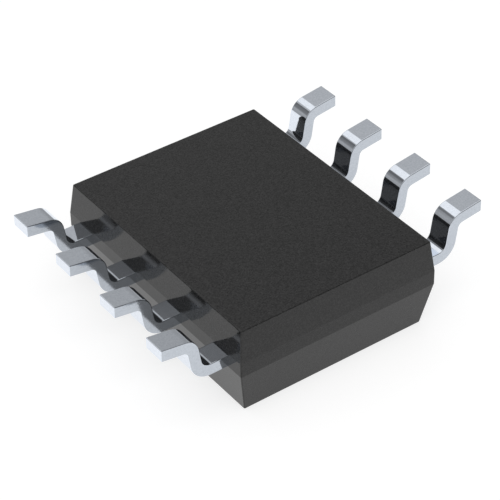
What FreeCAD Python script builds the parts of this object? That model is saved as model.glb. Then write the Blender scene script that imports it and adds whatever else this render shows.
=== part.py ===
import math
import os

import FreeCAD
import Part
import Sketcher

# Small-outline package with eight gull-wing leads, lying on its marking face with its feet up.
# Millimetres and degrees. X runs along the rows of leads, Y across the body from row to row,
# and Z is up. The origin is the middle of the marking face, so the feet are at the top.

LEADS_PER_SIDE = 4
ROWS = (-1, 1)
SECTION_SIDES = 8
LEVEL_TOLERANCE = 1e-6
PARTS_FOLDER = "parts"

SIZES = {
    # Moulded body. The band is the upright strip at the parting line, and both halves
    # narrow away from it, so that the body comes out of its mould.
    "body_length": 4.85,
    "body_width": 3.80,
    "body_height": 1.65,
    "marked_half_height": 0.82,
    "band_height": 0.26,
    "marked_half_draft": 10.5,
    "seating_half_draft": 6.5,
    "edge_round": 0.02,
    "first_lead_dot": 0.50,
    "dot_depth": 0.05,
    "dot_inset": 0.60,
    # Leads, bent from one strip. The pitch is the standard one for this package.
    "pitch": 1.27,
    "strip_thickness": 0.203,
    "lead_width": 0.41,
    "lead_span": 6.20,
    "lead_above_parting": 0.035,
    "standoff": 0.10,
    "foot_length": 0.42,
    "foot_angle": 8.0,
    "leg_lean": 9.0,
    "foot_bend_radius": 0.10,
    "shoulder_bend_radius": 0.155,
    # Fingers: the leads' wide inner ends, which anchor them in the moulding.
    "finger_width": 0.62,
    "finger_cover": 0.12,
    "finger_to_paddle": 0.20,
    "finger_to_tie_bar": 0.30,
    "anchor_hole": 0.20,
    "anchor_hole_inset": 0.22,
    # Die paddle, pushed out of the plane of the leads by the step in its tie bars.
    "paddle_length": 2.90,
    "paddle_width": 2.30,
    "paddle_corner": 0.10,
    "paddle_offset": 0.15,
    "tie_bar_width": 0.30,
    "tie_bar_cover": 0.10,
    "tie_bar_root": 0.12,
    "tie_bar_step": 0.20,
    # Adhesive under the die, and the die.
    "attach_thickness": 0.03,
    "attach_margin": 0.08,
    "die_length": 1.80,
    "die_width": 1.50,
    "die_thickness": 0.25,
    # Bond wires: a ball on the die, a loop, and a stitch on the lead's finger.
    "bond_inset": 0.10,
    "middle_bond_offset": 0.35,
    "end_bond_offset": 0.45,
    "wire_width": 0.03,
    "ball_width": 0.08,
    "ball_height": 0.02,
    "loop_height": 0.18,
    "loop_shoulder": 0.05,
    "loop_flat": 0.35,
    "stitch_length": 0.10,
    "stitch_inset": 0.08,
}

doc = FreeCAD.newDocument("SmallOutlinePackage")
sheet = doc.addObject("Spreadsheet::Sheet", "Sizes")
for row, (name, size) in enumerate(SIZES.items(), start=1):
    sheet.set(f"A{row}", name)
    sheet.set(f"B{row}", str(size))
    sheet.setAlias(f"B{row}", name)
doc.recompute()

# Levels and reaches that several pieces share, worked out from the sizes.
PARTING_TOP = "(Sizes.marked_half_height + Sizes.band_height)"
STRIP_BOTTOM = "(Sizes.marked_half_height + Sizes.lead_above_parting)"
STRIP_TOP = f"({STRIP_BOTTOM} + Sizes.strip_thickness)"
PADDLE_BOTTOM = f"({STRIP_BOTTOM} + Sizes.paddle_offset)"
PADDLE_TOP = f"({PADDLE_BOTTOM} + Sizes.strip_thickness)"
DIE_TOP = f"({PADDLE_BOTTOM} - Sizes.attach_thickness)"
DIE_FACE = f"({DIE_TOP} - Sizes.die_thickness)"
FOOT_TIP = "(Sizes.body_height + Sizes.standoff)"
FINGER_OUTER = "(Sizes.body_width / 2 - Sizes.finger_cover)"
MIDDLE_FINGER_INNER = "(Sizes.paddle_width / 2 + Sizes.finger_to_paddle)"
END_FINGER_INNER = "(Sizes.tie_bar_width / 2 + Sizes.finger_to_tie_bar)"
END_LEAD_X = f"({(LEADS_PER_SIDE - 1) / 2} * Sizes.pitch)"
END_FINGER_REACH = f"({END_LEAD_X} - Sizes.paddle_length / 2 - Sizes.finger_to_paddle)"
END_FINGER_MIDDLE = f"(({END_FINGER_REACH} - Sizes.lead_width / 2) / 2)"


def value(expression):
    """The number that an expression on the sheet gives now."""
    return float(sheet.evalExpression(expression))


def vector(x, y):
    """A point of a sketch."""
    return FreeCAD.Vector(x, y, 0)


def origin_plane(body, role):
    """One of a body's own origin planes, such as XY_Plane."""
    return next(feature for feature in body.Origin.OriginFeatures if feature.Role == role)


def new_body(label):
    """An empty body that will hold one piece."""
    body = doc.addObject("PartDesign::Body", label)
    body.Label = label
    return body


def new_sketch(body, name, role="XY_Plane", level=None):
    """A sketch on one of the body's origin planes, or at a level above it."""
    sketch = body.newObject("Sketcher::SketchObject", name)
    sketch.AttachmentSupport = [(origin_plane(body, role), "")]
    sketch.MapMode = "FlatFace"
    if level:
        sketch.setExpression("AttachmentOffset.Base.z", level)
    return sketch


def size_constraint(sketch, kind, places, expression):
    """A dimension of a sketch that follows an expression."""
    number = value(expression)
    if kind == "Angle":
        number = math.radians(number)
    index = sketch.addConstraint(Sketcher.Constraint(kind, *places, number))
    sketch.setExpression(f"Constraints[{index}]", expression)


def place_point(sketch, edge, end, x, y):
    """Dimensions an edge's end from the sketch's origin."""
    size_constraint(sketch, "DistanceX", (-1, 1, edge, end), x)
    size_constraint(sketch, "DistanceY", (-1, 1, edge, end), y)


def draw_polygon(sketch, corners):
    """A closed outline whose corners are pairs of expressions."""
    points = [vector(value(x), value(y)) for x, y in corners]
    count = len(points)
    for i in range(count):
        sketch.addGeometry(Part.LineSegment(points[i], points[(i + 1) % count]), False)
    for i in range(count):
        sketch.addConstraint(Sketcher.Constraint("Coincident", i, 2, (i + 1) % count, 1))
    for i, (x, y) in enumerate(corners):
        place_point(sketch, i, 1, x, y)


def draw_rounded_rectangle(sketch, length, width, radius):
    """A rectangle about the sketch's origin, with round corners."""
    half_x, half_y, r = value(length) / 2, value(width) / 2, value(radius)
    signs = ((1, 1), (-1, 1), (-1, -1), (1, -1))
    for i, (sx, sy) in enumerate(signs):
        centre = vector(sx * (half_x - r), sy * (half_y - r))
        start = i * math.pi / 2
        circle = Part.Circle(centre, FreeCAD.Vector(0, 0, 1), r)
        sketch.addGeometry(Part.ArcOfCircle(circle, start, start + math.pi / 2), False)
    arcs = range(len(signs))
    for i in arcs:
        j = (i + 1) % len(signs)
        ends = (sketch.getPoint(i, 2), sketch.getPoint(j, 1))
        side = sketch.addGeometry(Part.LineSegment(*ends), False)
        sketch.addConstraint(Sketcher.Constraint("Tangent", i, 2, side, 1))
        sketch.addConstraint(Sketcher.Constraint("Tangent", side, 2, j, 1))
        direction = "Horizontal" if i % 2 == 0 else "Vertical"
        sketch.addConstraint(Sketcher.Constraint(direction, side))
    for i in arcs[1:]:
        sketch.addConstraint(Sketcher.Constraint("Equal", 0, i))
    sketch.addConstraint(Sketcher.Constraint("Symmetric", 0, 3, 2, 3, -1, 1))
    size_constraint(sketch, "Radius", (0,), radius)
    size_constraint(sketch, "DistanceX", (2, 3, 0, 3), f"{length} - 2 * {radius}")
    size_constraint(sketch, "DistanceY", (2, 3, 0, 3), f"{width} - 2 * {radius}")


def draw_circle(sketch, x, y, diameter):
    """A circle placed by expressions."""
    centre = vector(value(x), value(y))
    circle = Part.Circle(centre, FreeCAD.Vector(0, 0, 1), value(diameter) / 2)
    sketch.addGeometry(circle, False)
    place_point(sketch, 0, 3, x, y)
    size_constraint(sketch, "Diameter", (0,), diameter)


def pad(body, name, sketch, length, reverse=False, both_ways=False):
    """Extrudes a sketch, one way or half each way."""
    feature = body.newObject("PartDesign::Pad", name)
    feature.Profile = sketch
    feature.Reversed = reverse
    feature.SideType = "Symmetric" if both_ways else "One side"
    feature.setExpression("Length", length)
    return feature


def drafted_block(body, name, low, high, low_inset, high_inset):
    """A layer of the moulding between two levels, as long and wide as the band less an inset.

    The insets are how far each of its four sides has leant inwards at either level.
    """
    layer = body.newObject("PartDesign::AdditiveWedge", name)
    layer.AttachmentSupport = [(origin_plane(body, "XZ_Plane"), "")]
    layer.MapMode = "FlatFace"
    layer.setExpression("Ymin", low)
    layer.setExpression("Ymax", high)
    for side, sign in (("min", "-1"), ("max", "1")):
        layer.setExpression(f"X{side}", f"{sign} * (Sizes.body_length / 2 - {low_inset})")
        layer.setExpression(f"Z{side}", f"{sign} * (Sizes.body_width / 2 - {low_inset})")
        layer.setExpression(f"X2{side}", f"{sign} * (Sizes.body_length / 2 - {high_inset})")
        layer.setExpression(f"Z2{side}", f"{sign} * (Sizes.body_width / 2 - {high_inset})")
    return layer


def cut_pocket(body, name, sketch, depth, reverse):
    """Cuts a sketch out of the body, along or against the sketch's own direction."""
    feature = body.newObject("PartDesign::Pocket", name)
    feature.Profile = sketch
    feature.Reversed = reverse
    feature.setExpression("Length", depth)
    return feature


def edges_at_levels(shape, levels):
    """Names of the edges that lie whole in one of some horizontal planes."""
    names = []
    for i, edge in enumerate(shape.Edges, start=1):
        box = edge.BoundBox
        for level in levels:
            if max(abs(box.ZMin - level), abs(box.ZMax - level)) < LEVEL_TOLERANCE:
                names.append(f"Edge{i}")
    return names


def lead_name(row, column):
    """Lead numbers run along the +Y row and back along the -Y row, from the dot's corner."""
    number = column + 1 if row > 0 else 2 * LEADS_PER_SIDE - column
    return f"lead_{number}"


def column_offset(column):
    """A lead's place along its row, in pitches from the middle."""
    return column - (LEADS_PER_SIDE - 1) / 2


def make_moulding():
    """The moulded block before the space for the embedded pieces is taken out of it."""
    block = new_body("moulded_block")
    marked_lean = "(Sizes.marked_half_height * tan(Sizes.marked_half_draft * 1 deg))"
    seating_lean = f"((Sizes.body_height - {PARTING_TOP}) * tan(Sizes.seating_half_draft * 1 deg))"
    drafted_block(block, "MarkedHalf", "0", "Sizes.marked_half_height", marked_lean, "0")
    drafted_block(block, "PartingBand", "Sizes.marked_half_height", PARTING_TOP, "0", "0")
    seating_half = drafted_block(
        block, "SeatingHalf", PARTING_TOP, "Sizes.body_height", "0", seating_lean)
    doc.recompute()

    rounds = block.newObject("PartDesign::Fillet", "FaceEdges")
    face_edges = edges_at_levels(seating_half.Shape, (0.0, value("Sizes.body_height")))
    rounds.Base = (seating_half, face_edges)
    rounds.setExpression("Radius", "Sizes.edge_round")

    # A shallow round dimple by the first lead, in the face that carries the marking.
    dot = new_sketch(block, "FirstLeadDot")
    draw_circle(dot, "-1 * (Sizes.body_length / 2 - Sizes.dot_inset)",
                "Sizes.body_width / 2 - Sizes.dot_inset", "Sizes.first_lead_dot")
    cut_pocket(block, "DotRecess", dot, "Sizes.dot_depth", reverse=True)
    return block


def draw_gull_wing(sketch, inner_end):
    """Side outline of one lead of the -Y row: foot, leg and shoulder, joined by two bends.

    The strip keeps its thickness, so the two arcs of a bend share a centre. The foot's end
    and the inner end are cut upright. Coordinates are Y and Z.
    """
    thickness = value("Sizes.strip_thickness")
    foot = math.radians(value("Sizes.foot_angle"))
    leg = math.radians(90 - value("Sizes.leg_lean"))
    foot_radius = value("Sizes.foot_bend_radius")
    shoulder_radius = value("Sizes.shoulder_bend_radius")
    tip = vector(-value("Sizes.lead_span") / 2, value(FOOT_TIP))

    # Each edge of the side that faces the feet, walked from the tip towards the body.
    along_foot = vector(math.cos(foot), -math.sin(foot))
    along_leg = vector(math.cos(leg), -math.sin(leg))
    below_foot = vector(-math.sin(foot), -math.cos(foot))
    below_leg = vector(-math.sin(leg), -math.cos(leg))
    below_shoulder = vector(0, -1)
    foot_end = tip + along_foot * value("Sizes.foot_length")
    foot_centre = foot_end + below_foot * (foot_radius + thickness)
    leg_start = foot_centre - below_leg * (foot_radius + thickness)
    shoulder_level = value(STRIP_TOP)
    drop = leg_start.y - shoulder_level - shoulder_radius * (1 - math.cos(leg))
    leg_end = leg_start + along_leg * (drop / math.sin(leg))
    shoulder_centre = leg_end - below_leg * shoulder_radius
    shoulder_start = shoulder_centre + below_shoulder * shoulder_radius
    inner_top = vector(-value(inner_end), shoulder_level)
    # The same edges on the other side of the strip, one thickness away.
    inner_bottom = inner_top + below_shoulder * thickness
    shoulder_start_below = shoulder_start + below_shoulder * thickness
    leg_end_below = leg_end + below_leg * thickness
    leg_start_below = leg_start + below_leg * thickness
    foot_end_below = foot_end + below_foot * thickness
    tip_below = vector(tip.x, foot_end_below.y + (foot_end_below.x - tip.x) * math.tan(foot))

    def line(start, end):
        return sketch.addGeometry(Part.LineSegment(start, end), False)

    def bend(centre, start, end):
        middle = (start + end) * 0.5 - centre
        middle = centre + middle * ((start - centre).Length / middle.Length)
        return sketch.addGeometry(Part.Arc(start, middle, end), False)

    foot_top = line(tip, foot_end)
    foot_outer_bend = bend(foot_centre, foot_end, leg_start)
    leg_inner = line(leg_start, leg_end)
    shoulder_inner_bend = bend(shoulder_centre, leg_end, shoulder_start)
    shoulder_top = line(shoulder_start, inner_top)
    inner_cut = line(inner_top, inner_bottom)
    shoulder_bottom = line(inner_bottom, shoulder_start_below)
    shoulder_outer_bend = bend(shoulder_centre, shoulder_start_below, leg_end_below)
    leg_outer = line(leg_end_below, leg_start_below)
    foot_inner_bend = bend(foot_centre, leg_start_below, foot_end_below)
    foot_bottom = line(foot_end_below, tip_below)
    tip_cut = line(tip_below, tip)

    def end_at(edge, point):
        return min((1, 2), key=lambda end: (sketch.getPoint(edge, end) - point).Length)

    def join(kind, first, second, point):
        ends = (first, end_at(first, point), second, end_at(second, point))
        sketch.addConstraint(Sketcher.Constraint(kind, *ends))

    join("Tangent", foot_top, foot_outer_bend, foot_end)
    join("Tangent", foot_outer_bend, leg_inner, leg_start)
    join("Tangent", leg_inner, shoulder_inner_bend, leg_end)
    join("Tangent", shoulder_inner_bend, shoulder_top, shoulder_start)
    join("Coincident", shoulder_top, inner_cut, inner_top)
    join("Coincident", inner_cut, shoulder_bottom, inner_bottom)
    join("Tangent", shoulder_bottom, shoulder_outer_bend, shoulder_start_below)
    join("Tangent", shoulder_outer_bend, leg_outer, leg_end_below)
    join("Tangent", leg_outer, foot_inner_bend, leg_start_below)
    join("Tangent", foot_inner_bend, foot_bottom, foot_end_below)
    join("Coincident", foot_bottom, tip_cut, tip_below)
    join("Coincident", tip_cut, foot_top, tip)
    for edge in (shoulder_top, shoulder_bottom):
        sketch.addConstraint(Sketcher.Constraint("Horizontal", edge))
    for edge in (inner_cut, tip_cut):
        sketch.addConstraint(Sketcher.Constraint("Vertical", edge))
    sketch.addConstraint(Sketcher.Constraint("Parallel", foot_top, foot_bottom))
    sketch.addConstraint(Sketcher.Constraint("Parallel", leg_inner, leg_outer))
    for outer, inner in ((foot_outer_bend, foot_inner_bend), (shoulder_outer_bend, shoulder_inner_bend)):
        sketch.addConstraint(Sketcher.Constraint("Coincident", outer, 3, inner, 3))

    place_point(sketch, foot_top, 1, "-1 * Sizes.lead_span / 2", FOOT_TIP)
    place_point(sketch, inner_cut, 1, f"-1 * {inner_end}", STRIP_TOP)
    size_constraint(sketch, "DistanceY", (inner_cut, 2, inner_cut, 1), "Sizes.strip_thickness")
    size_constraint(sketch, "Distance", (foot_top,), "Sizes.foot_length")
    size_constraint(sketch, "Angle", (foot_top,), "-1 * Sizes.foot_angle * 1 deg")
    size_constraint(sketch, "Angle", (leg_inner,), "(Sizes.leg_lean - 90) * 1 deg")
    size_constraint(sketch, "Radius", (foot_inner_bend,), "Sizes.foot_bend_radius")
    size_constraint(sketch, "Radius", (shoulder_inner_bend,), "Sizes.shoulder_bend_radius")


def make_lead(row, column):
    """One lead: a bent strip outside the body and a wide finger inside it.

    It is drawn for the -Y row, and turned half round for the other one. An end lead's finger
    reaches along the end of the paddle. A middle lead's finger stops in front of its side.
    """
    label = lead_name(row, column)
    at_end = column in (0, LEADS_PER_SIDE - 1)
    lead = new_body(label)
    side = new_sketch(lead, "GullWing", role="YZ_Plane")
    draw_gull_wing(side, MIDDLE_FINGER_INNER)
    pad(lead, "Strip", side, "Sizes.lead_width", both_ways=True)

    plan = new_sketch(lead, "FingerPlan", level=STRIP_BOTTOM)
    if at_end:
        # Which way the middle of the body lies, before the lead is turned into its row.
        inward = 1 if (column == 0) == (row < 0) else -1
        near_x, far_x = f"{-inward} * Sizes.lead_width / 2", f"{inward} * {END_FINGER_REACH}"
        inner = END_FINGER_INNER
    else:
        near_x, far_x = "-1 * Sizes.finger_width / 2", "Sizes.finger_width / 2"
        inner = MIDDLE_FINGER_INNER
    corners = [
        (near_x, f"-1 * {FINGER_OUTER}"),
        (far_x, f"-1 * {FINGER_OUTER}"),
        (far_x, f"-1 * {inner}"),
        (near_x, f"-1 * {inner}"),
    ]
    draw_polygon(plan, corners)
    pad(lead, "Finger", plan, "Sizes.strip_thickness")
    if at_end:
        # The moulding fills this hole and pins the lead.
        hole = new_sketch(lead, "AnchorHole", level=STRIP_BOTTOM)
        draw_circle(hole, f"{inward} * {END_FINGER_MIDDLE}",
                    f"-1 * ({FINGER_OUTER} - Sizes.anchor_hole_inset)", "Sizes.anchor_hole")
        cut_pocket(lead, "AnchorHoleCut", hole, "Sizes.strip_thickness", reverse=True)

    lead.setExpression("Placement.Base.x", f"{column_offset(column)} * Sizes.pitch")
    if row > 0:
        lead.Placement.Rotation = FreeCAD.Rotation(FreeCAD.Vector(0, 0, 1), 180)
    return lead


def make_paddle():
    """The plate that carries the die, with a stepped tie bar at each end.

    The bars stop inside the moulding, so nothing of them shows on the body's ends.
    """
    paddle = new_body("die_paddle")
    plan = new_sketch(paddle, "PaddlePlan", level=PADDLE_BOTTOM)
    draw_rounded_rectangle(plan, "Sizes.paddle_length", "Sizes.paddle_width", "Sizes.paddle_corner")
    pad(paddle, "Paddle", plan, "Sizes.strip_thickness")

    # The bar starts inside the plate, so that the two are one piece.
    inside = "(Sizes.paddle_length / 2 - Sizes.tie_bar_root)"
    step_start = "(Sizes.paddle_length / 2 + Sizes.tie_bar_root)"
    step_end = f"({step_start} + Sizes.tie_bar_step)"
    bar_end = "(Sizes.body_length / 2 - Sizes.tie_bar_cover)"
    slope = "atan2(Sizes.paddle_offset; Sizes.tie_bar_step)"
    mitre = f"Sizes.strip_thickness * tan({slope} / 2)"
    side = new_sketch(paddle, "TieBarSide", role="XZ_Plane")
    corners = [
        (inside, PADDLE_TOP),
        (inside, PADDLE_BOTTOM),
        (f"{step_start} - {mitre}", PADDLE_BOTTOM),
        (f"{step_end} - {mitre}", STRIP_BOTTOM),
        (bar_end, STRIP_BOTTOM),
        (bar_end, STRIP_TOP),
        (step_end, STRIP_TOP),
        (step_start, PADDLE_TOP),
    ]
    draw_polygon(side, corners)
    bar = pad(paddle, "TieBar", side, "Sizes.tie_bar_width", both_ways=True)
    other_bar = paddle.newObject("PartDesign::Mirrored", "OtherTieBar")
    other_bar.Originals = [bar]
    other_bar.MirrorPlane = (origin_plane(paddle, "YZ_Plane"), [""])
    paddle.Tip = other_bar
    return paddle


def make_die_attach():
    """The cured layer of adhesive, squeezed out a little around the die."""
    attach = new_body("die_attach")
    plan = new_sketch(attach, "AttachPlan", level=PADDLE_BOTTOM)
    draw_rounded_rectangle(
        plan, "(Sizes.die_length + 2 * Sizes.attach_margin)",
        "(Sizes.die_width + 2 * Sizes.attach_margin)", "Sizes.attach_margin")
    pad(attach, "Layer", plan, "Sizes.attach_thickness", reverse=True)
    return attach


def make_die():
    """The sawn piece of silicon, which hangs from the paddle with its circuit side down."""
    die = doc.addObject("Part::Box", "silicon_die")
    die.Label = "silicon_die"
    die.setExpression("Length", "Sizes.die_length")
    die.setExpression("Width", "Sizes.die_width")
    die.setExpression("Height", "Sizes.die_thickness")
    die.setExpression("Placement.Base.x", "-1 * Sizes.die_length / 2")
    die.setExpression("Placement.Base.y", "-1 * Sizes.die_width / 2")
    die.setExpression("Placement.Base.z", DIE_FACE)
    return die


def bond_points(row, column):
    """Expressions for where a lead's wire starts on the die and where it ends on the finger."""
    offset = column_offset(column)
    along = 1 if offset > 0 else -1
    stitch = "+ Sizes.stitch_inset + Sizes.stitch_length"
    if column in (0, LEADS_PER_SIDE - 1):
        start_x, start_y = "(Sizes.die_length / 2 - Sizes.bond_inset)", "Sizes.end_bond_offset"
        end_x = f"({END_LEAD_X} - {END_FINGER_MIDDLE})"
        end_y = f"({END_FINGER_INNER} {stitch})"
    else:
        start_x, start_y = "Sizes.middle_bond_offset", "(Sizes.die_width / 2 - Sizes.bond_inset)"
        end_x = f"({abs(offset)} * Sizes.pitch)"
        end_y = f"({MIDDLE_FINGER_INNER} {stitch})"
    return f"{along} * {start_x}", f"{row} * {start_y}", f"{along} * {end_x}", f"{row} * {end_y}"


def make_bond_wire(row, column):
    """One wire, in its own upright plane: ball, neck, flat top of the loop, slope and stitch.

    It is drawn along X with the ball at the origin and Z away from the die. A half turn about
    the line midway between X and its heading then turns it over and points it at its lead.
    The section has eight sides, with a flat one on the lead.
    """
    label = lead_name(row, column).replace("lead", "bond_wire")
    start_x, start_y, end_x, end_y = bond_points(row, column)
    run_x, run_y = f"({end_x} - {start_x})", f"({end_y} - {start_y})"
    span = f"hypot({run_x}; {run_y})"
    landing = f"({DIE_FACE} - {STRIP_BOTTOM} + Sizes.wire_width / 2)"
    route = [
        ("0", "Sizes.ball_height"),
        ("0", "Sizes.loop_height - Sizes.loop_shoulder"),
        ("Sizes.loop_shoulder", "Sizes.loop_height"),
        ("Sizes.loop_flat", "Sizes.loop_height"),
        (f"{span} - Sizes.stitch_length", landing),
        (span, landing),
    ]
    path = doc.addObject("Sketcher::SketchObject", f"{label}_route")
    path.Placement = FreeCAD.Placement(
        FreeCAD.Vector(), FreeCAD.Rotation(FreeCAD.Vector(1, 0, 0), 90))
    points = [vector(value(x), value(y)) for x, y in route]
    for i in range(len(points) - 1):
        path.addGeometry(Part.LineSegment(points[i], points[i + 1]), False)
        if i:
            path.addConstraint(Sketcher.Constraint("Coincident", i - 1, 2, i, 1))
        place_point(path, i, 1, *route[i])
    place_point(path, len(points) - 2, 2, *route[-1])

    half_side_angle = 180 / SECTION_SIDES
    turned = FreeCAD.Rotation(FreeCAD.Vector(0, 0, 1), half_side_angle)
    section = doc.addObject("Part::RegularPolygon", f"{label}_section")
    section.Polygon = SECTION_SIDES
    section.setExpression("Circumradius", f"Sizes.wire_width / 2 / cos({half_side_angle} deg)")
    section.Placement.Rotation = turned
    section.setExpression("Placement.Base.z", "Sizes.ball_height")
    doc.recompute()
    drawn = doc.addObject("Part::Sweep", f"{label}_drawn")
    drawn.Sections = [section]
    drawn.Spine = (path, [f"Edge{i}" for i in range(1, len(points))])
    drawn.Solid = True
    drawn.Frenet = False
    drawn.Transition = "Right corner"
    drawn.Linearize = True
    ball = doc.addObject("Part::Prism", f"{label}_ball")
    ball.Polygon = SECTION_SIDES
    ball.setExpression("Circumradius", f"Sizes.ball_width / 2 / cos({half_side_angle} deg)")
    ball.setExpression("Height", "Sizes.ball_height")
    ball.Placement.Rotation = turned

    wire = doc.addObject("Part::MultiFuse", label)
    wire.Label = label
    wire.Shapes = [ball, drawn]
    half_heading = f"(atan2({run_y}; {run_x}) / 2)"
    wire.Placement.Rotation = FreeCAD.Rotation(FreeCAD.Vector(1, 0, 0), 180)
    wire.setExpression("Placement.Rotation.Axis.x", f"cos{half_heading}")
    wire.setExpression("Placement.Rotation.Axis.y", f"sin{half_heading}")
    wire.setExpression("Placement.Base.x", start_x)
    wire.setExpression("Placement.Base.y", start_y)
    wire.setExpression("Placement.Base.z", DIE_FACE)
    return wire


def make_body(block, embedded):
    """The moulding, which fills all the room around the embedded pieces and touches them."""
    core = doc.addObject("Part::MultiFuse", "embedded_pieces")
    core.Shapes = embedded
    core.Refine = False
    body = doc.addObject("Part::Cut", "mould_body")
    body.Label = "mould_body"
    body.Base = block
    body.Tool = core
    return body


def check_document():
    """Stops if a feature failed, or a sketch can be moved."""
    for item in doc.Objects:
        if "Invalid" in item.State or "Error" in item.State:
            raise RuntimeError(f"{item.Label} failed: {item.State}")
        if item.isDerivedFrom("Sketcher::SketchObject") and not item.FullyConstrained:
            raise RuntimeError(f"{item.Label} is not fully constrained")


def check_pieces(pieces):
    """Stops if a piece is not one closed, valid solid."""
    for piece in pieces:
        shape = piece.Shape
        if shape.isNull() or not shape.isValid() or len(shape.Solids) != 1:
            raise RuntimeError(f"{piece.Label} is not one valid solid")


def main():
    places = [(row, column) for row in ROWS for column in range(LEADS_PER_SIDE)]
    block = make_moulding()
    leads = [make_lead(row, column) for row, column in places]
    inner = [make_paddle(), make_die_attach(), make_die()]
    wires = [make_bond_wire(row, column) for row, column in places]
    body = make_body(block, leads + inner + wires)
    doc.recompute()

    pieces = [body] + leads + inner + wires
    check_document()
    check_pieces(pieces)
    os.makedirs(PARTS_FOLDER, exist_ok=True)
    for piece in pieces:
        piece.Shape.exportStep(os.path.join(PARTS_FOLDER, f"{piece.Label}.step"))
        print(f"{piece.Label}: {piece.Shape.Volume:.6f} cubic mm")


main()
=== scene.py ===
import logging
import math
from dataclasses import dataclass
from enum import Enum
from typing import Any

import bpy
import numpy as np
from mathutils import Matrix, Vector


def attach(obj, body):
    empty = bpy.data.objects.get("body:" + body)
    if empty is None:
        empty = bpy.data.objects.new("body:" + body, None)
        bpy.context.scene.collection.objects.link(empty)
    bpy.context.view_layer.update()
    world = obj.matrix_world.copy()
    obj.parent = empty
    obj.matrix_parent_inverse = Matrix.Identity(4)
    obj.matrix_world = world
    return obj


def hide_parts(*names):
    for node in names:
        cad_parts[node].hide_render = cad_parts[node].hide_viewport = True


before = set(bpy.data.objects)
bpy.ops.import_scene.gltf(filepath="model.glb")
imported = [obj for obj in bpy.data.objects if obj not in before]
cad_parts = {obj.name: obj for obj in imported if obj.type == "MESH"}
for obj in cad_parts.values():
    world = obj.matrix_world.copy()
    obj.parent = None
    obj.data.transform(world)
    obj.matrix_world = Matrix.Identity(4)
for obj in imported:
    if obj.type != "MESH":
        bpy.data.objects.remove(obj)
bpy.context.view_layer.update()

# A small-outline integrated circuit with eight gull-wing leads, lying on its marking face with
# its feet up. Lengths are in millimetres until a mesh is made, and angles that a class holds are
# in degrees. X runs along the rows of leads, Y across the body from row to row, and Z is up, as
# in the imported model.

LOG = logging.getLogger("soic")
MM = 0.001

# Edges that turn by more than this, in degrees, are shaded sharp.
SHARP_EDGE = 40.0
# A face is a stamped side of its strip where its normal's X is over this, either way.
STAMPED_SIDE = 0.9
# The sockets of a Mix node that mixes colours.
MIX_LOW, MIX_HIGH, MIX_RESULT = 6, 7, 2

Colour = tuple[float, float, float, float]
# Vertices, one (x, y, z) a row, and faces between them.
Skin = tuple[np.ndarray, list[list[int]]]


class Row(Enum):
    """The two rows of leads, by the side of the body that they stand on."""

    NEAR = -1
    FAR = 1


class Place(Enum):
    """Where a lead stands in its row, which decides the shape of its finger."""

    END = "end"
    MIDDLE = "middle"


# Surfaces, as whole arrays of points


def heading_vector(angles: np.ndarray) -> np.ndarray:
    """Unit vectors (cos a, sin a) of angles a."""
    return np.stack((np.cos(angles), np.sin(angles)), axis=-1)


def bent_path(corners: np.ndarray, radii: np.ndarray, steps: int, margin: float
              ) -> tuple[np.ndarray, np.ndarray]:
    """Rounds the corners of a flat run of straight lines.

    Each corner becomes the arc that touches both of its lines: it starts radius * tan(half
    the turn) short of the corner, and its points are centre - radius * left(a) for headings a
    that go evenly from one line's heading to the other's, where left(a) = (-sin a, cos a).
    A further point lies a margin before and after each arc, so that shading stays flat on the
    straight runs.

    Args:
        corners: The run's ends and corners, in order, one (u, v) a row.
        radii: A radius for each corner between the ends.
        steps: Steps along each arc.
        margin: How far the further points lie from the arcs.

    Returns:
        Points (stations, 2) and the heading at each (stations,).
    """
    heading = np.unwrap(np.arctan2(*np.diff(corners, axis=0).T[::-1]))
    turn = np.diff(heading)
    angles = heading[:-1, None] + turn[:, None] * np.linspace(0, 1, steps + 1)
    forward, left = heading_vector(heading), heading_vector(angles + math.pi / 2)
    start = corners[1:-1] - forward[:-1] * (radii * np.tan(np.abs(turn) / 2))[:, None]
    bend = (radii * np.sign(turn))[:, None]
    arcs = (start + left[:, 0] * bend)[:, None] - left * bend[:, None]
    before = arcs[:, :1] - forward[:-1, None] * margin
    after = arcs[:, -1:] + forward[1:, None] * margin
    points = np.concatenate((before, arcs, after), axis=1).reshape(-1, 2)
    angles = np.concatenate((angles[:, :1], angles, angles[:, -1:]), axis=1).ravel()
    return (np.concatenate((corners[:1], points, corners[-1:])),
            np.concatenate((heading[:1], angles, heading[-1:])))


def round_outline(half_u: np.ndarray, half_v: np.ndarray, radius: np.ndarray,
                  steps: int, side_points: int, margin: float) -> np.ndarray:
    """Rectangles with round corners, one for each size given, walked anticlockwise.

    A corner's points are core + radius * (cos a, sin a), where the core is the rectangle's
    corner brought in by the radius and a runs over a quarter turn. Points a margin beyond each
    arc keep the shading of the sides flat, and further points stand evenly along the sides.

    Args:
        half_u: Half lengths (rings,).
        half_v: Half widths (rings,).
        radius: Corner radii, one for each ring or for each ring's four corners, in order from
            the one at +u and +v.
        steps: Steps along each corner.
        side_points: Points along each side between its ends.
        margin: Length of side that is kept flat beyond each arc.

    Returns:
        Points (rings, points, 2).
    """
    quarter = np.arange(4) * math.pi / 2
    signs = np.sign(heading_vector(quarter + math.pi / 4))
    radius = np.broadcast_to(radius.reshape(len(half_u), -1), (len(half_u), 4))
    core = signs * np.stack((half_u[:, None] - radius, half_v[:, None] - radius), axis=-1)
    angles = quarter[:, None] + np.linspace(0, math.pi / 2, steps + 1)
    arcs = core[:, :, None] + radius[..., None, None] * heading_vector(angles)
    along = heading_vector(angles + math.pi / 2) * margin
    before = arcs[:, :, :1] - along[None, :, :1]
    after = arcs[:, :, -1:] + along[None, :, -1:]
    share = np.linspace(0, 1, side_points + 2)[1:-1, None]
    side = after + (np.roll(before, -1, axis=1) - after) * share
    return np.concatenate((before, arcs, after, side), axis=2).reshape(len(core), -1, 2)


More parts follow.
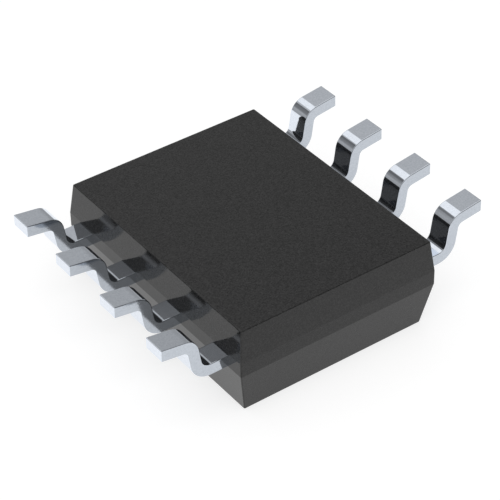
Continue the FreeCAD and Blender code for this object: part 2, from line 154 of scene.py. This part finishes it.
def edge_inset(depth: float, steps: int, margin: float) -> tuple[np.ndarray, np.ndarray]:
    """How a rounded end draws in: inset = r (1 - sin a) at distance r (1 - cos a) from the end.

    Args:
        depth: The rounding's radius r.
        steps: Steps along the rounding.
        margin: How far the flat of the end is carried on beyond the rounding.

    Returns:
        Insets and distances from the end (steps + 2,), starting on the flat of the end.
    """
    angles = np.linspace(0, math.pi / 2, steps + 1)
    inset = np.concatenate(([depth + margin], depth * (1 - np.sin(angles))))
    return inset, np.concatenate(([0.0], depth * (1 - np.cos(angles))))


def loft(rings: np.ndarray, looped: bool = False) -> Skin:
    """Closes a stack of rings into a skin whose faces point outwards.

    Point (i, j) is joined to (i + 1, j) and (i, j + 1), and the last j to the first. The two
    end rings are joined to each other, or each is closed by triangles to its middle. The skin
    is turned over if the volume under its faces, the sum of a . (b x c) / 6, is negative.

    Args:
        rings: Points (rings, points, 3).
        looped: Whether the last ring joins the first one.

    Returns:
        The skin.
    """
    count, around = rings.shape[:2]
    i = np.arange(count if looped else count - 1)[:, None] * around
    j = np.arange(around)
    k = (j + 1) % around
    above = (i + around) % (count * around)
    quads = np.stack(np.broadcast_arrays(i + j, i + k, above + k, above + j), -1).reshape(-1, 4)
    vertices = rings.reshape(-1, 3)
    ends = np.empty((0, 3), int)
    if not looped:
        low, top = len(vertices), (count - 1) * around
        vertices = np.concatenate((vertices, [rings[0].mean(0), rings[-1].mean(0)]))
        ends = np.concatenate((np.stack((k, j, np.full(around, low)), -1),
                               np.stack((top + j, top + k, np.full(around, low + 1)), -1)))
    triangles = np.concatenate((quads[:, :3], quads[:, [0, 2, 3]], ends))
    a, b, c = np.moveaxis(vertices[triangles], 1, 0)
    if (a * np.cross(b, c)).sum() < 0:
        quads, ends = quads[:, ::-1], ends[:, ::-1]
    return vertices, quads.tolist() + ends.tolist()


def joined(*skins: Skin) -> Skin:
    """Makes one skin out of several, with each one's vertices counted on from the last.

    Args:
        skins: The skins.

    Returns:
        All their vertices and faces.
    """
    starts = np.cumsum([0] + [len(vertices) for vertices, _ in skins])
    faces = [[v + int(start) for v in face]
             for start, (_, own) in zip(starts, skins) for face in own]
    return np.concatenate([vertices for vertices, _ in skins]), faces


def add_piece(name: str, skin: Skin, node: str, material: bpy.types.Material,
              side_material: bpy.types.Material | None = None) -> bpy.types.Object:
    """Makes a piece of the part that stands for a CAD node.

    Args:
        name: The piece's name.
        skin: Its vertices, in millimetres, and its faces.
        node: The CAD node that it replaces.
        material: Its finish.
        side_material: The finish of the faces that look along X, where that differs.

    Returns:
        The piece, with its place in its mesh.
    """
    vertices, faces = skin
    mesh = bpy.data.meshes.new(name)
    mesh.from_pydata((vertices * MM).tolist(), [], faces)
    mesh.polygons.foreach_set("use_smooth", np.ones(len(faces), bool))
    mesh.set_sharp_from_angle(angle=math.radians(SHARP_EDGE))
    mesh.materials.append(material)
    if side_material:
        mesh.materials.append(side_material)
        normals = np.empty(3 * len(faces), np.float32)
        mesh.polygons.foreach_get("normal", normals)
        at_side = np.abs(normals[::3]) > STAMPED_SIDE
        mesh.polygons.foreach_set("material_index", at_side.astype(int))
    mesh.update()
    piece = bpy.data.objects.new(name, mesh)
    bpy.context.scene.collection.objects.link(piece)
    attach(piece, "root")
    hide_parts(node)
    LOG.info("%s stands for %s: %d vertices, %d faces", name, node, len(vertices), len(faces))
    return piece


# Finishes


def linear(hex_colour: str) -> Colour:
    """Turns an sRGB colour to linear light.

    A channel c becomes c / 12.92 up to 0.04045, and ((c + 0.055) / 1.055) ** 2.4 above that.

    Args:
        hex_colour: The colour as a hex value, such as "#c08a5c".

    Returns:
        Red, green and blue, and an alpha of 1.
    """
    srgb = np.array([int(hex_colour[i:i + 2], 16) for i in (1, 3, 5)]) / 255
    low, high = srgb / 12.92, ((srgb + 0.055) / 1.055) ** 2.4
    return (*np.where(srgb <= 0.04045, low, high).tolist(), 1.0)


def per_metre(size: float) -> float:
    """The texture scale that gives features of a size in millimetres."""
    return 1 / (size * MM)


def add_node(tree: bpy.types.NodeTree, kind: str, settings: dict[str, Any] | None = None,
             inputs: dict[str | int, Any] | None = None) -> bpy.types.Node:
    """Adds one node with its settings and what goes into it.

    Args:
        tree: The node tree.
        kind: The node's type, such as "ShaderNodeBump".
        settings: Values of its attributes.
        inputs: For each input, another node's output or a constant.

    Returns:
        The node.
    """
    node = tree.nodes.new(kind)
    for name, setting in (settings or {}).items():
        setattr(node, name, setting)
    for name, source in (inputs or {}).items():
        socket = node.inputs[name]
        if isinstance(source, bpy.types.NodeSocket):
            tree.links.new(source, socket)
        else:
            socket.default_value = source
    return node


def link_all(tree: bpy.types.NodeTree, shader: bpy.types.Node,
             sources: dict[str, bpy.types.NodeSocket]) -> None:
    """Links what varies over a surface to the inputs of its shader."""
    for name, source in sources.items():
        tree.links.new(source, shader.inputs[name])


def new_material(name: str, shader: str = "ShaderNodeBsdfPrincipled",
                 inputs: dict[str | int, Any] | None = None
                 ) -> tuple[bpy.types.Material, bpy.types.Node, bpy.types.NodeSocket]:
    """Starts a material with one shader on its output.

    Args:
        name: The material's name.
        shader: The shader's node type.
        inputs: Constants of the shader.

    Returns:
        The material, its shader and the Object coordinates.
    """
    material = bpy.data.materials.new(name)
    material.use_nodes = True
    tree = material.node_tree
    tree.nodes.clear()
    surface = add_node(tree, shader, inputs=inputs)
    add_node(tree, "ShaderNodeOutputMaterial", inputs={"Surface": surface.outputs[0]})
    coordinates = add_node(tree, "ShaderNodeTexCoord")
    return material, surface, coordinates.outputs["Object"]


@dataclass(frozen=True)
class MouldingCompound:
    """Silica-filled epoxy, transfer moulded in a polished mould.

    Carbon black makes it nearly black. The skin is smooth enough to mirror the leads, and a
    little duller in slow ripples, where the compound flowed. The filler's grains, drawn at the
    size of real ones, give it a fine speckle. Their relief is a share of their width.
    """

    colour: str = "#111111"
    grain_colour: str = "#3d3d3d"
    roughness: float = 0.08
    roughness_spread: float = 0.03
    ior: float = 1.5
    gloss: float = 0.34
    grain: float = 0.016
    grain_relief: float = 0.1
    grain_strength: float = 0.12
    ripple: float = 0.9
    ripple_detail: float = 3.0
    ripple_levels: tuple[float, float] = (0.3, 0.7)

    def material(self) -> bpy.types.Material:
        """Makes the finish: grains tint and roughen the skin, and ripples dull it.

        Returns:
            The material.
        """
        material, skin, place = new_material(
            "black_epoxy_moulding_compound",
            inputs={"IOR": self.ior, "Specular IOR Level": self.gloss})
        tree = material.node_tree
        grains = add_node(tree, "ShaderNodeTexVoronoi", {"feature": "SMOOTH_F1"},
                          {"Vector": place, "Scale": per_metre(self.grain)})
        tint = add_node(tree, "ShaderNodeMix", {"data_type": "RGBA"}, {
            "Factor": grains.outputs["Color"],
            MIX_LOW: linear(self.colour), MIX_HIGH: linear(self.grain_colour)})
        ripples = add_node(tree, "ShaderNodeTexNoise", inputs={
            "Vector": place, "Scale": per_metre(self.ripple), "Detail": self.ripple_detail})
        dull = add_node(tree, "ShaderNodeMapRange", inputs={
            "Value": ripples.outputs["Fac"],
            "From Min": self.ripple_levels[0], "From Max": self.ripple_levels[1],
            "To Min": self.roughness, "To Max": self.roughness + self.roughness_spread})
        bumps = add_node(tree, "ShaderNodeBump", inputs={
            "Height": grains.outputs["Distance"], "Strength": self.grain_strength,
            "Distance": self.grain * MM * self.grain_relief})
        link_all(tree, skin, {"Base Color": tint.outputs[MIX_RESULT],
                              "Roughness": dull.outputs["Result"],
                              "Normal": bumps.outputs["Normal"]})
        return material


@dataclass(frozen=True)
class BrightTin:
    """Bright tin, electroplated on copper alloy strip and bent after plating.

    It is nearly a mirror and slightly blue. It follows the rolled strip, so its reflections
    waver a little. The plating's grain is a few thousandths of a millimetre wide, which is too
    fine to show in the render, so its mottle is drawn as coarse as it needs to show.
    """

    name: str
    colour: str
    shade: str
    roughness: float
    roughness_spread: float = 0.02
    waver: float = 0.35
    waver_detail: float = 1.0
    waver_relief: float = 0.01
    waver_strength: float = 0.03
    plating_grain: float = 0.016

    def material(self) -> bpy.types.Material:
        """Makes the finish: grains mottle the tin, and the strip's waves bend what it mirrors.

        Returns:
            The material.
        """
        material, skin, place = new_material(self.name, inputs={"Metallic": 1.0})
        tree = material.node_tree
        waves = add_node(tree, "ShaderNodeTexNoise", inputs={
            "Vector": place, "Scale": per_metre(self.waver), "Detail": self.waver_detail})
        grain = add_node(tree, "ShaderNodeTexVoronoi", {"feature": "SMOOTH_F1"},
                         {"Vector": place, "Scale": per_metre(self.plating_grain)})
        tint = add_node(tree, "ShaderNodeMix", {"data_type": "RGBA"}, {
            "Factor": grain.outputs["Color"],
            MIX_LOW: linear(self.colour), MIX_HIGH: linear(self.shade)})
        dull = add_node(tree, "ShaderNodeMapRange", inputs={
            "Value": grain.outputs["Color"], "To Min": self.roughness - self.roughness_spread,
            "To Max": self.roughness + self.roughness_spread})
        bumps = add_node(tree, "ShaderNodeBump", inputs={
            "Height": waves.outputs["Fac"], "Strength": self.waver_strength,
            "Distance": self.waver_relief * MM})
        link_all(tree, skin, {"Base Color": tint.outputs[MIX_RESULT],
                              "Roughness": dull.outputs["Result"],
                              "Normal": bumps.outputs["Normal"]})
        return material


@dataclass(frozen=True)
class HiddenFinish:
    """A finish of a piece inside the moulding, which varies between two colours over its grain.

    The grain may be stretched along an axis. Its relief is a share of its width.
    """

    name: str
    light: str
    dark: str
    roughness: float
    metallic: float
    grain: float
    stretch: tuple[float, float, float] = (1.0, 1.0, 1.0)
    strength: float = 0.1
    relief: float = 0.2
    roughness_spread: float = 0.15
    detail: float = 4.0
    stops: tuple[float, float] = (0.35, 0.65)

    def material(self) -> bpy.types.Material:
        """Makes the finish: one noise gives the colour, the roughness and the relief.

        Returns:
            The material.
        """
        material, skin, place = new_material(self.name, inputs={"Metallic": self.metallic})
        tree = material.node_tree
        laid = add_node(tree, "ShaderNodeMapping", inputs={"Vector": place, "Scale": self.stretch})
        noise = add_node(tree, "ShaderNodeTexNoise", inputs={
            "Vector": laid.outputs["Vector"], "Scale": per_metre(self.grain),
            "Detail": self.detail})
        ramp = add_node(tree, "ShaderNodeValToRGB", inputs={"Fac": noise.outputs["Fac"]})
        for stop, position, colour in zip(ramp.color_ramp.elements, self.stops,
                                          (self.dark, self.light)):
            stop.position, stop.color = position, linear(colour)
        dull = add_node(tree, "ShaderNodeMapRange", inputs={
            "Value": noise.outputs["Fac"], "To Min": self.roughness,
            "To Max": self.roughness + self.roughness_spread})
        bumps = add_node(tree, "ShaderNodeBump", inputs={
            "Height": noise.outputs["Fac"], "Strength": self.strength,
            "Distance": self.grain * MM * self.relief})
        link_all(tree, skin, {"Base Color": ramp.outputs["Color"],
                              "Roughness": dull.outputs["Result"],
                              "Normal": bumps.outputs["Normal"]})
        return material


# The part


@dataclass
class Moulding:
    """The moulded body: an upright band at the parting line, and a taper to either face.

    The first lead's dimple has its innermost ring at a share of its radius. The lean of its
    wall, its two rounds and the flat round its rim are shares of its depth.
    """

    length: float = 4.85
    width: float = 3.80
    height: float = 1.65
    marked_half_height: float = 0.82
    band_height: float = 0.26
    marked_half_draft: float = 10.5
    seating_half_draft: float = 6.5
    face_edge_round: float = 0.02
    band_edge_round: float = 0.015
    corner_round: float = 0.02
    dot_width: float = 0.50
    dot_depth: float = 0.05
    dot_inset: float = 0.60
    dot_floor_reach: float = 0.5
    dot_wall_lean: float = 0.3
    dot_floor_round: float = 0.4
    dot_rim_round: float = 0.3
    dot_rim_flat: float = 3.0
    margin: float = 0.004

    def side_profile(self) -> tuple[np.ndarray, np.ndarray]:
        """How far the sides are drawn in at each level, from the marking face to the other one.

        The corners of the profile lie where the tapers meet the band and the faces, and a
        taper leans in by its height times the tangent of its draft.

        Returns:
            Insets from the band's sides and levels, one for each ring.
        """
        band_top = self.marked_half_height + self.band_height
        marked_lean = self.marked_half_height * math.tan(math.radians(self.marked_half_draft))
        seating_lean = ((self.height - band_top)
                        * math.tan(math.radians(self.seating_half_draft)))
        # Each face starts this far in from its edge, which leaves room for the edge's round.
        flat = 2 * self.face_edge_round
        corners = np.array([
            (-marked_lean - flat, 0.0), (-marked_lean, 0.0), (0.0, self.marked_half_height),
            (0.0, band_top), (-seating_lean, self.height), (-seating_lean - flat, self.height)])
        radii = np.array([self.face_edge_round, self.band_edge_round,
                          self.band_edge_round, self.face_edge_round])
        points, _ = bent_path(corners, radii, steps=8, margin=self.margin)
        return -points[:, 0], points[:, 1]

    def dimple(self, rim: np.ndarray) -> np.ndarray:
        """The round dimple by the first lead, as rings that go on from the marking face's rim.

        A ring's points are centre + radius * unit(p - centre) for the points p of the rim, so
        the face between rim and dimple is flat and its quads never cross. Inside the dimple the
        wall turns into the floor on an arc.

        Args:
            rim: The marking face's outermost ring (points, 3).

        Returns:
            Rings (rings, points, 3) from the middle of the dimple outwards.
        """
        centre = np.array((-(self.length / 2 - self.dot_inset),
                           self.width / 2 - self.dot_inset, 0.0))
        spokes = rim - centre
        spokes /= np.linalg.norm(spokes, axis=1)[:, None]
        radius, depth = self.dot_width / 2, self.dot_depth
        walk = np.array([
            (radius * self.dot_floor_reach, depth), (radius - self.dot_wall_lean * depth, depth),
            (radius, 0.0), (radius + self.dot_rim_flat * depth, 0.0)])
        rounds = np.array([self.dot_floor_round * depth, self.dot_rim_round * depth])
        points, _ = bent_path(walk, rounds, steps=5, margin=self.margin)
        rings = centre + points[:, :1, None] * spokes
        rings[..., 2] += points[:, 1:]
        return rings

    def skin(self) -> Skin:
        """Makes the skin: the dimple's rings, then a round-cornered rectangle at each level.

        Returns:
            The skin.
        """
        inset, level = self.side_profile()
        outline = round_outline(
            self.length / 2 - inset, self.width / 2 - inset,
            np.full(len(inset), self.corner_round), steps=6, side_points=40, margin=self.margin)
        levels = np.broadcast_to(level[:, None, None], outline.shape[:2] + (1,))
        walls = np.concatenate((outline, levels), axis=-1)
        return loft(np.concatenate((self.dimple(walls[0]), walls)))

    def build(self, finish: MouldingCompound) -> bpy.types.Object:
        """Makes the body."""
        return add_piece("moulded_body", self.skin(), "mould_body", finish.material())


@dataclass
class GullWingLead:
    """One lead: foot, leg and shoulder bent from a strip, and the finger in the moulding.

    It stands at middle_x in its row, and inward is the sign of X, as the lead is drawn, on the
    side where the row's middle is. Over the length tip_turn the strip's section turns upright
    towards its tip, and there its edges keep at least a share of their roundings.
    """

    number: int
    row: Row
    place: Place
    middle_x: float
    inward: int
    span: float = 6.20
    tip_level: float = 1.75
    shoulder_level: float = 0.855
    strip_width: float = 0.41
    strip_thickness: float = 0.203
    foot_length: float = 0.42
    foot_angle: float = 8.0
    leg_lean: float = 9.0
    foot_bend_radius: float = 0.10
    shoulder_bend_radius: float = 0.155
    sole_edge_round: float = 0.013
    burr_edge_round: float = 0.003
    tip_edge_round: float = 0.012
    tip_turn: float = 0.1
    tip_round_share: float = 0.2
    finger_outer: float = 1.78
    middle_finger_inner: float = 1.35
    middle_finger_width: float = 0.62
    end_finger_inner: float = 0.45
    end_finger_reach: float = 0.255
    anchor_hole: float = 0.20
    anchor_hole_inset: float = 0.22
    margin: float = 0.004

    def centre_line(self) -> tuple[np.ndarray, np.ndarray]:
        """The line along the middle of the strip, from the foot's tip to the finger.

        The foot runs down at its angle from the tip, the leg stands at 90 degrees less its
        lean, and the shoulder is level. Each bend's radius is its inside radius and half the
        strip's thickness, so its sides share its centre.

        Returns:
            Points (stations, 2), in Y and Z for the -Y row, and headings (stations,).
        """
        half = self.strip_thickness / 2
        foot, leg = -math.radians(self.foot_angle), -math.radians(90 - self.leg_lean)
        along, down = np.array((math.cos(foot), math.sin(foot))), np.array((0.0, -1.0))
        square = np.array((math.sin(foot), -math.cos(foot)))
        tip = np.array((-self.span / 2, self.tip_level))
        radii = np.array((self.foot_bend_radius, self.shoulder_bend_radius)) + half
        foot_corner = (tip + square * half
                       + along * (self.foot_length + radii[0] * math.tan((foot - leg) / 2)))
        level = self.shoulder_level + half
        drop = foot_corner[1] - level
        shoulder_corner = np.array((foot_corner[0] + drop / math.tan(-leg), level))
        corners = np.array([tip + down * half / math.cos(foot), foot_corner, shoulder_corner,
                            (-self.finger_outer, level)])
        return bent_path(corners, radii, steps=24, margin=self.margin)

    def strip(self) -> Skin:
        """The strip: a rounded rectangle carried along the centre line.

        A point is centre + u * X + v * across, where (u, v) runs round the section and across
        is square to the heading. Towards the tip across turns upright, as the tip is cut
        upright, and at the cut the section draws in on the edge's rounding.

        Returns:
            The skin, in the -Y row.
        """
        line, heading = self.centre_line()
        inset, back = edge_inset(self.tip_edge_round, steps=4, margin=self.margin)
        back = np.append(back, (self.tip_edge_round + self.margin, self.tip_turn))
        inset = np.append(inset, (0.0, 0.0))
        along = heading_vector(heading[0])
        line = np.concatenate((line[0] + along * back[:, None], line[1:]))
        heading = np.concatenate((np.full(len(back), heading[0]), heading[1:]))
        inset = np.pad(inset, (0, len(line) - len(inset)))
        back = np.pad(back, (0, len(line) - len(back)), constant_values=self.tip_turn)
        upright = np.clip(1 - back / self.tip_turn, 0, 1)[:, None]
        square = heading_vector(heading + math.pi / 2)
        cut = np.stack((np.zeros(len(line)), 1 / np.cos(heading)), axis=-1)
        across = square * (1 - upright) + np.where(upright > 0, cut, 0) * upright
        rounds = np.array((self.sole_edge_round, self.sole_edge_round,
                           self.burr_edge_round, self.burr_edge_round))
        outline = round_outline(
            self.strip_width / 2 - inset, self.strip_thickness / 2 - inset,
            np.maximum(rounds - inset[:, None], rounds * self.tip_round_share),
            steps=4, side_points=0, margin=self.margin)
        side = line[:, None] + outline[..., 1:] * across[:, None]
        return loft(np.concatenate((outline[..., :1], side), axis=-1))

    def finger(self) -> Skin:
        """The flat finger, as rings round its rim, and round its hole if it has one.

        A ring is a rectangle's outline at the finger's lower or upper face. The hole's rings
        are centre + radius * unit(p - centre) for the points p of the rim.

        Returns:
            The skin, in the -Y row.
        """
        if self.place is Place.MIDDLE:
            left, right = -self.middle_finger_width / 2, self.middle_finger_width / 2
            inner = -self.middle_finger_inner
        else:
            left, right = sorted((-self.inward * self.strip_width / 2,
                                  self.inward * self.end_finger_reach))
            inner = -self.end_finger_inner
        middle = np.array(((left + right) / 2, (inner - self.finger_outer) / 2))
        rim = middle + round_outline(
            np.array([(right - left) / 2]), np.array([(inner + self.finger_outer) / 2]),
            np.array([self.burr_edge_round]), steps=3, side_points=10, margin=self.margin)[0]
        bottom, top = self.shoulder_level, self.shoulder_level + self.strip_thickness
        if self.place is Place.MIDDLE:
            outlines, levels = [rim, rim], [bottom, top]
        else:
            centre = np.array((middle[0], -(self.finger_outer - self.anchor_hole_inset)))
            spokes = rim - centre
            hole = centre + spokes * (self.anchor_hole / 2
                                      / np.linalg.norm(spokes, axis=1))[:, None]
            outlines, levels = [hole, rim, rim, hole], [bottom, bottom, top, top]
        rings = np.stack([np.column_stack((outline, np.full(len(outline), level)))
                          for outline, level in zip(outlines, levels)])
        return loft(rings, looped=self.place is Place.END)

    def build(self, rolled: bpy.types.Material, stamped: bpy.types.Material
              ) -> bpy.types.Object:
        """Makes the lead, drawn for the -Y row and turned half round for the other.

        Args:
            rolled: The finish of the strip's rolled faces and its cut tip.
            stamped: The finish of its stamped sides.

        Returns:
            The lead.
        """
        vertices, faces = joined(self.strip(), self.finger())
        turned = np.array((-self.row.value, -self.row.value, 1))
        vertices = vertices * turned + (self.middle_x, 0, 0)
        return add_piece(f"gull_wing_lead_{self.number}", (vertices, faces),
                         f"lead_{self.number}", rolled, stamped)


@dataclass
class LeadFrame:
    """The eight leads, numbered along the +Y row and back along the -Y row.

    The rolled faces and the cut tips take one tin. The stamped sides, the faces that look along X,
    take a greyer and a little rougher copy of it.
    """

    leads_per_side: int = 4
    pitch: float = 1.27
    rolled_face: BrightTin = BrightTin("bright_tin_plating", "#e9eff8", "#d7dde6", 0.05)
    # The stamped sides, the faces that look along X, take a greyer, rougher copy of the tin.
    stamped_edge: BrightTin = BrightTin("greyer_tin_on_stamped_sides", "#c5cbd3", "#b5bbc3", 0.08)

    def leads(self) -> list[GullWingLead]:
        """Works out where each lead stands.

        Returns:
            The leads, in the order of their numbers.
        """
        made = []
        for number in range(1, 2 * self.leads_per_side + 1):
            row = Row.FAR if number <= self.leads_per_side else Row.NEAR
            column = number - 1 if row is Row.FAR else 2 * self.leads_per_side - number
            offset = column - (self.leads_per_side - 1) / 2
            at_end = column in (0, self.leads_per_side - 1)
            inward = (-1 if offset > 0 else 1) * -row.value
            made.append(GullWingLead(number, row, Place.END if at_end else Place.MIDDLE,
                                     offset * self.pitch, inward))
        return made

    def build(self) -> list[bpy.types.Object]:
        """Makes the leads, which share their two platings."""
        rolled, stamped = self.rolled_face.material(), self.stamped_edge.material()
        return [lead.build(rolled, stamped) for lead in self.leads()]


@dataclass
class SealedPieces:
    """The pieces inside the moulding, which keep their CAD meshes and get their finishes."""

    wires: int = 8
    # Rolling draws the grain of the strip out along it and leaves a soft copper sheen.
    strip: HiddenFinish = HiddenFinish(
        "rolled_copper_alloy_strip", "#d9a07c", "#b97a56", 0.32, 1.0, 0.05, (0.1, 1.0, 1.0))
    # Flakes of silver in cured epoxy look grey, dull and rough.
    adhesive: HiddenFinish = HiddenFinish(
        "cured_silver_filled_epoxy", "#c6c4bd", "#8f8d88", 0.5, 0.3, 0.02, strength=0.4)
    # Silicon ground thin and polished is dark, bluish and nearly a mirror.
    silicon: HiddenFinish = HiddenFinish(
        "polished_silicon", "#5d616b", "#454955", 0.12, 0.9, 0.03, strength=0.03)
    # The drawing die leaves the gold smooth and bright.
    gold: HiddenFinish = HiddenFinish(
        "drawn_gold_wire", "#f0cb78", "#dfae52", 0.2, 1.0, 0.01, strength=0.05)

    def build(self) -> None:
        """Gives each CAD node its finish."""
        wire_nodes = [f"bond_wire_{number}" for number in range(1, self.wires + 1)]
        for finish, nodes in ((self.strip, ["die_paddle"]), (self.adhesive, ["die_attach"]),
                              (self.silicon, ["silicon_die"]), (self.gold, wire_nodes)):
            material = finish.material()
            for node in nodes:
                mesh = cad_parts[node].data
                mesh.materials.clear()
                mesh.materials.append(material)
                LOG.info("%s keeps its CAD mesh in %s", node, finish.name)


# The studio


def direction(heading: float, elevation: float) -> Vector:
    """Finds the way to a place in the room: (cos h cos e, sin h cos e, sin e).

    Args:
        heading: The angle h round from +X, in degrees.
        elevation: The angle e above the table, in degrees.

    Returns:
        The unit vector.
    """
    turn, rise = math.radians(heading), math.radians(elevation)
    return Vector((math.cos(turn) * math.cos(rise), math.sin(turn) * math.cos(rise),
                   math.sin(rise)))


@dataclass(frozen=True)
class Patch:
    """A round patch of the room that is lighter or darker than its walls."""

    name: str
    heading: float
    elevation: float
    radius: float
    blur: float
    colour: str

    def direction(self) -> Vector:
        """The unit vector towards the middle of the patch."""
        return direction(self.heading, self.elevation)


@dataclass
class Studio:
    """A white table in a plain grey room with a window overhead, a soft lamp and the camera.

    The lamp's power is in watts. The walls are the sines of heights above the table, each with
    the room's colour there.
    """

    eye: tuple[float, float, float] = (21.672, -15.268, 21.360)
    aim: tuple[float, float, float] = (0.332, -0.210, 1.190)
    roll: float = -1.226
    lens: float = 148.28
    sensor_width: float = 36.0
    clip: tuple[float, float] = (1.0, 5000.0)
    table_size: float = 1200.0
    table_colour: str = "#acacac"
    table_glow: float = 0.70
    lamp_distance: float = 120.0
    lamp_size: float = 140.0
    lamp_heading: float = 335.0
    lamp_elevation: float = 62.0
    lamp_power: float = 0.08
    walls: tuple[tuple[float, str], ...] = (
        (0.0, "#f0f0f0"), (0.035, "#9e9e9e"), (0.6, "#9e9e9e"), (0.8, "#b7b7b7"))
    patches: tuple[Patch, ...] = (
        Patch("bright_wall", 185.0, 22.0, 34.0, 16.0, "#c4c4c4"),
        Patch("curtain", 210.0, 36.0, 9.5, 3.5, "#6a6a6a"),
        Patch("curtain_foot", 215.0, 26.0, 9.0, 5.0, "#787878"),
        Patch("doorway", 42.0, 33.0, 26.0, 8.0, "#303030"),
        Patch("side_window", 197.0, 40.0, 9.6, 0.7, "#c0c0c0"),
        Patch("window", 180.0, 68.0, 25.7, 0.7, "#ffffff"))

    def add_camera(self) -> None:
        """The camera, at the photograph's distance, angle and slight roll."""
        eye, aim = Vector(self.eye) * MM, Vector(self.aim) * MM
        ahead = (aim - eye).normalized()
        right = ahead.cross(Vector((0, 0, 1))).normalized()
        up = right.cross(ahead)
        level = Matrix((right, up, -ahead)).transposed()
        lens = bpy.data.cameras.new("camera")
        lens.lens, lens.sensor_width = self.lens, self.sensor_width
        lens.clip_start, lens.clip_end = (distance * MM for distance in self.clip)
        camera = bpy.data.objects.new("camera", lens)
        turn = Matrix.Rotation(math.radians(self.roll), 3, "Z")
        camera.matrix_world = Matrix.Translation(eye) @ (level @ turn).to_4x4()
        bpy.context.scene.collection.objects.link(camera)
        bpy.context.scene.camera = camera

    def add_table(self) -> None:
        """The white table, of matt card. It glows for the camera and in glosses only."""
        half = self.table_size / 2 * MM
        mesh = bpy.data.meshes.new("table")
        mesh.from_pydata([(-half, -half, 0), (half, -half, 0), (half, half, 0),
                          (-half, half, 0)], [], [(0, 1, 2, 3)])
        material, white, _ = new_material(
            "matt_white_card", "ShaderNodeBsdfDiffuse", {"Color": linear(self.table_colour)})
        tree = material.node_tree
        output = next(n for n in tree.nodes if n.type == "OUTPUT_MATERIAL")
        rays = add_node(tree, "ShaderNodeLightPath").outputs
        seen = rays["Is Camera Ray"]
        for ray in ("Is Glossy Ray", "Is Transmission Ray"):
            seen = add_node(tree, "ShaderNodeMath", {"operation": "MAXIMUM"}, {
                0: seen, 1: rays[ray]}).outputs[0]
        share = add_node(tree, "ShaderNodeMath", {"operation": "MULTIPLY"}, {
            0: seen, 1: self.table_glow})
        glow = add_node(tree, "ShaderNodeEmission", inputs={"Strength": share.outputs[0]})
        both = add_node(tree, "ShaderNodeAddShader", inputs={
            0: white.outputs[0], 1: glow.outputs[0]})
        tree.links.new(both.outputs[0], output.inputs["Surface"])
        mesh.materials.append(material)
        table = bpy.data.objects.new("table", mesh)
        bpy.context.scene.collection.objects.link(table)

    def add_room(self) -> None:
        """The room: grey walls whose colour goes by the sine of height, and their patches.

        A patch covers the directions whose angle to its middle is under its radius. It is drawn
        by the cosine of that angle, and fades from a blur inside its edge to a blur outside.
        """
        world = bpy.data.worlds.new("room")
        world.use_nodes = True
        tree = world.node_tree
        tree.nodes.clear()
        ahead = add_node(tree, "ShaderNodeTexCoord").outputs["Generated"]
        height = add_node(tree, "ShaderNodeSeparateXYZ", inputs={0: ahead})
        ramp = add_node(tree, "ShaderNodeValToRGB", inputs={"Fac": height.outputs["Z"]})
        stops = ramp.color_ramp.elements
        while len(stops) < len(self.walls):
            # A new stop may start anywhere between the first and the last one.
            stops.new(0.5)
        for stop, (position, colour) in zip(stops, self.walls):
            stop.position, stop.color = position, linear(colour)
        light = ramp.outputs["Color"]
        for patch in self.patches:
            cosine = add_node(tree, "ShaderNodeVectorMath", {"operation": "DOT_PRODUCT"}, {
                0: ahead, 1: patch.direction()})
            edges = np.cos(np.radians((patch.radius + patch.blur, patch.radius - patch.blur)))
            inside = add_node(tree, "ShaderNodeMapRange", {"interpolation_type": "SMOOTHSTEP"}, {
                "Value": cosine.outputs["Value"],
                "From Min": float(edges[0]), "From Max": float(edges[1])})
            light = add_node(
                tree, "ShaderNodeMix", {"data_type": "RGBA", "label": patch.name},
                {"Factor": inside.outputs["Result"], MIX_LOW: light,
                 MIX_HIGH: linear(patch.colour)}).outputs[MIX_RESULT]
        walls = add_node(tree, "ShaderNodeBackground", inputs={"Color": light})
        add_node(tree, "ShaderNodeOutputWorld", inputs={"Surface": walls.outputs[0]})
        bpy.context.scene.world = world

    def add_lamp(self) -> None:
        """A square soft box over the camera, which lights the part but isn't mirrored in it."""
        towards = direction(self.lamp_heading, self.lamp_elevation)
        lamp = bpy.data.lights.new("soft_box", "AREA")
        lamp.shape, lamp.size, lamp.energy = "SQUARE", self.lamp_size * MM, self.lamp_power
        box = bpy.data.objects.new("soft_box", lamp)
        box.rotation_mode = "QUATERNION"
        box.location = towards * self.lamp_distance * MM
        box.rotation_quaternion = (-towards).to_track_quat("-Z", "Y")
        box.visible_glossy = False
        bpy.context.scene.collection.objects.link(box)

    def build(self) -> None:
        """Sets up everything that isn't part of the object."""
        self.add_camera()
        self.add_table()
        self.add_room()
        self.add_lamp()
        bpy.context.scene.view_settings.view_transform = "Standard"
        LOG.info("studio: camera, table, room and lamp")


def main() -> None:
    """Builds the part and its studio."""
    logging.basicConfig(level=logging.INFO, format="%(name)s: %(message)s")
    Moulding().build(MouldingCompound())
    LeadFrame().build()
    SealedPieces().build()
    Studio().build()


if __name__ == "__main__":
    main()
